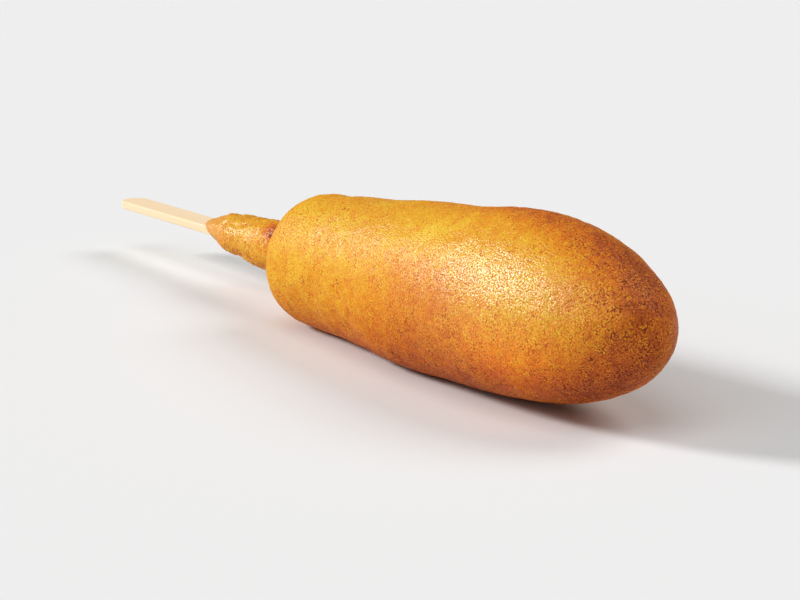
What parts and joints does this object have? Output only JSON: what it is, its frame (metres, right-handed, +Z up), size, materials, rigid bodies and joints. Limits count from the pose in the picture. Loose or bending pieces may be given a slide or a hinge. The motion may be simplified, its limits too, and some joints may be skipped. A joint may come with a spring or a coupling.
{
  "type": "corn dog",
  "caption": "Fried cornmeal-battered corn dog with a rounded tip, lying on its side on a flat wooden stick whose collar of batter thins out along the wood.",
  "frame": {"origin": "under the middle of the whole length and width, on the surface that the corn dog lies on", "axes": "+X along the corn dog towards its rounded tip, with the stick's bare end at -X; +Z up; the stick's flat faces look up and down"},
  "size_m": [0.2623, 0.0455, 0.0463],
  "materials": {
    "fried_batter": "golden to brown fried cornmeal crust, finely grained, with a faint sheen of oil",
    "bare_wood": "pale, smooth, unvarnished wood with a fine straight grain"
  },
  "bodies": {
    "root": {"batter": "fried_batter", "stick": "bare_wood"}
  },
  "joints": []
}
